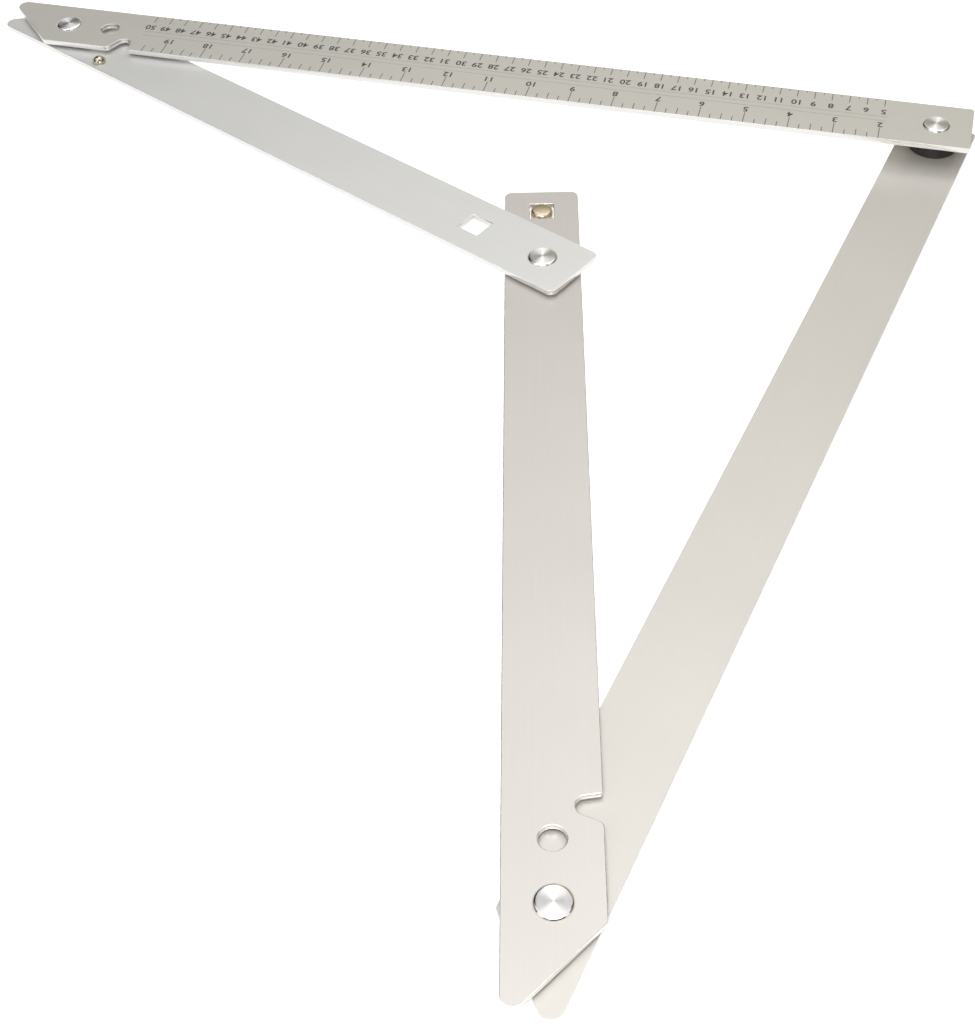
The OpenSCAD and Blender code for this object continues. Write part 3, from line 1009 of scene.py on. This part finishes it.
class SQUARE_OT_set_stage(bpy.types.Operator):
    """Set up the floor, the soft light and the camera"""

    bl_idname = "square.set_stage"
    bl_label = "Stage"

    def execute(self, context):
        settings = context.scene.folding_square.stage
        self.lay_floor(settings)
        self.light_sky(context.scene, settings)
        self.add_softboxes(settings)
        self.add_camera(context.scene, settings)
        context.scene.view_settings.view_transform = "Standard"
        return {"FINISHED"}

    @staticmethod
    def lay_floor(settings):
        """Pale matt light table under the leg, seen through from below."""
        half, ground = settings.floor_half, CAD_BOX[0].z - settings.floor_gap
        corners = ((-half, -half), (half, -half), (half, half), (-half, half))
        mesh = bpy.data.meshes.new("floor")
        mesh.from_pydata([(x, y, ground) for x, y in corners], [], [(0, 1, 2, 3)])
        material, tree, shader = new_finish("pale floor")
        paper = noise(tree, own_place(tree), scale=400, detail=2.0)
        base = patchy(tree, paper, settings.floor_colour, dark=0.995)
        pictured = add_node(tree, "ShaderNodeLightPath").outputs["Is Camera Ray"]
        whiter = maths(tree, "MULTIPLY", pictured, settings.floor_white)
        plug(
            tree, shader, Base_Color=base, Roughness=1.0, Specular_IOR_Level=0.0, Emission_Color=WHITE,
            Emission_Strength=maths(tree, "ADD", whiter, settings.floor_glow),
        )
        below = add_node(tree, "ShaderNodeNewGeometry").outputs["Backfacing"]
        clear = add_node(tree, "ShaderNodeBsdfTransparent").outputs[0]
        seen = add_node(tree, "ShaderNodeMixShader", {0: below, 1: shader.outputs[0], 2: clear})
        tree.links.new(seen.outputs[0], tree.nodes["Material Output"].inputs["Surface"])
        mesh.materials.append(material)
        new_piece("floor", mesh)

    @staticmethod
    def light_sky(scene, settings):
        """Soft sky, bright overhead and at the horizon and dark behind flags, with a white backdrop."""
        world = bpy.data.worlds.new("studio")
        scene.world = world
        world.use_nodes = True
        tree = world.node_tree
        tree.nodes.clear()
        way = add_node(tree, "ShaderNodeTexCoord").outputs["Generated"]
        split = add_node(tree, "ShaderNodeSeparateXYZ", {0: way})
        right, back, rise = split.outputs
        behind = ranged(tree, rise, BACK_HEIGHTS, (settings.sky_low, settings.sky_high), "SMOOTHSTEP")
        ahead = ranged(tree, rise, FRONT_HEIGHTS, (settings.sky_front, settings.sky_high))
        front = ranged(tree, back, FRONT_TO_BACK, (1.0, 0.0))
        light = add_node(tree, "ShaderNodeMix", {0: front, 2: behind, 3: ahead}).outputs[0]
        aside = maths(tree, "ABSOLUTE", right)
        dimmed = ranged(tree, aside, MIDDLE_TO_SIDE, (1.0, 1.0 - settings.sky_side))
        light = maths(tree, "MULTIPLY", light, dimmed)
        darker_right = ranged(tree, right, LEFT_TO_RIGHT, (1.0, 1.0 - settings.sky_right))
        light = maths(tree, "MULTIPLY", light, darker_right)
        azimuth = maths(tree, "ARCTAN2", right, back)
        for centre, half_width, lowest, highest, kept in FLAGS.values():
            turn = maths(tree, "ABSOLUTE", maths(tree, "SUBTRACT", azimuth, math.radians(centre)))
            sides = math.radians(half_width), math.radians(half_width + FLAG_SIDE_EDGE)
            inside = ranged(tree, turn, sides, (1.0, 0.0))
            climb = maths(tree, "ABSOLUTE", maths(tree, "SUBTRACT", rise, (lowest + highest) / 2))
            half_height = (highest - lowest) / 2
            covered = ranged(tree, climb, (half_height, half_height + FLAG_HEIGHT_EDGE), (1.0, 0.0))
            flag = maths(tree, "MULTIPLY", inside, covered)
            light = maths(tree, "MULTIPLY", light, ranged(tree, flag, (0.0, 1.0), (1.0, kept)))
        horizon = ranged(tree, rise, HORIZON_HEIGHTS, (settings.sky_horizon, 0.0))
        light = maths(tree, "MAXIMUM", light, horizon)
        rightward = ranged(tree, azimuth, [math.radians(turn) for turn in WARM_TURNS])
        warmth = maths(tree, "MULTIPLY", rightward, ranged(tree, rise, WARM_HEIGHTS, (1.0, 0.0)))
        tint = mixed(tree, warmth, WHITE, (*settings.sky_warm, 1.0))
        sky = add_node(tree, "ShaderNodeBackground", {"Color": tint, "Strength": light})
        backdrop = add_node(tree, "ShaderNodeBackground", {"Color": WHITE, "Strength": 1.0})
        seen = add_node(tree, "ShaderNodeLightPath").outputs["Is Camera Ray"]
        both = add_node(tree, "ShaderNodeMixShader", {0: seen, 1: sky.outputs[0], 2: backdrop.outputs[0]})
        end = add_node(tree, "ShaderNodeOutputWorld")
        tree.links.new(both.outputs[0], end.inputs["Surface"])

    @staticmethod
    def add_softbox(name, place, way, width, height, brightness):
        """Rectangular lamp of this brightness that shines one way."""
        light = bpy.data.lights.new(name, "AREA")
        light.shape = "RECTANGLE"
        light.size = width
        light.size_y = height
        light.energy = math.pi * width * height * brightness
        lamp = new_piece(name, light)
        lamp.location = place
        lamp.rotation_euler = way.to_track_quat("-Z", "Y").to_euler()

    def add_softboxes(self, settings):
        """Softboxes round the part, aimed at it, and the near one, which is aimed at its own point."""
        middle = (CAD_BOX[0] + CAD_BOX[1]) / 2
        for name, (azimuth, elevation, width, height, strength) in SOFTBOXES.items():
            side, rise = math.radians(azimuth), math.radians(elevation)
            run = math.cos(rise)
            way = Vector((math.sin(side) * run, -math.cos(side) * run, math.sin(rise)))
            place = middle + way * settings.softbox_distance
            self.add_softbox(name, place, -way, width, height, strength * settings.softbox_level)
        place = Vector(settings.near_place)
        way = Vector(settings.near_aim) - place
        self.add_softbox(
            "near softbox", place, way, settings.near_width, settings.near_depth, settings.near_level
        )

    @staticmethod
    def add_camera(scene, settings):
        """Camera at the photograph's place."""
        camera = bpy.data.cameras.new("camera")
        camera.lens = settings.camera_lens
        camera.shift_x = settings.camera_shift
        camera.clip_start = 10 * MM
        holder = new_piece("camera", camera)
        holder.location = settings.camera_place
        holder.rotation_euler = settings.camera_turn
        scene.camera = holder


OPERATORS = (
    SQUARE_OT_make_bars,
    SQUARE_OT_make_rule,
    SQUARE_OT_make_rivets,
    SQUARE_OT_make_washers,
    SQUARE_OT_make_catch,
    SQUARE_OT_set_stage,
)


class SQUARE_PT_pieces(bpy.types.Panel):
    """Buttons for the pieces of the folding square"""

    bl_idname = "SQUARE_PT_pieces"
    bl_label = "Folding square"
    bl_space_type = "VIEW_3D"
    bl_region_type = "UI"
    bl_category = "Square"

    def draw(self, context):
        for operator in OPERATORS:
            self.layout.operator(operator.bl_idname)


CLASSES = (
    SquareBarSettings,
    SquareRuleSettings,
    SquareTurnedSettings,
    SquareStageSettings,
    SquareSettings,
    *OPERATORS,
    SQUARE_PT_pieces,
)


def register():
    """Register the classes and the scene's settings."""
    for made in CLASSES:
        bpy.utils.register_class(made)
    bpy.types.Scene.folding_square = PointerProperty(type=SquareSettings)


def unregister():
    """Take the settings and the classes back out."""
    del bpy.types.Scene.folding_square
    for made in reversed(CLASSES):
        bpy.utils.unregister_class(made)


def main():
    """Make every piece and the stage."""
    register()
    bpy.ops.square.make_bars()
    bpy.ops.square.make_rule()
    bpy.ops.square.make_rivets()
    bpy.ops.square.make_washers()
    bpy.ops.square.make_catch()
    bpy.ops.square.set_stage()
    bpy.context.view_layer.update()


if __name__ == "__main__":
    main()
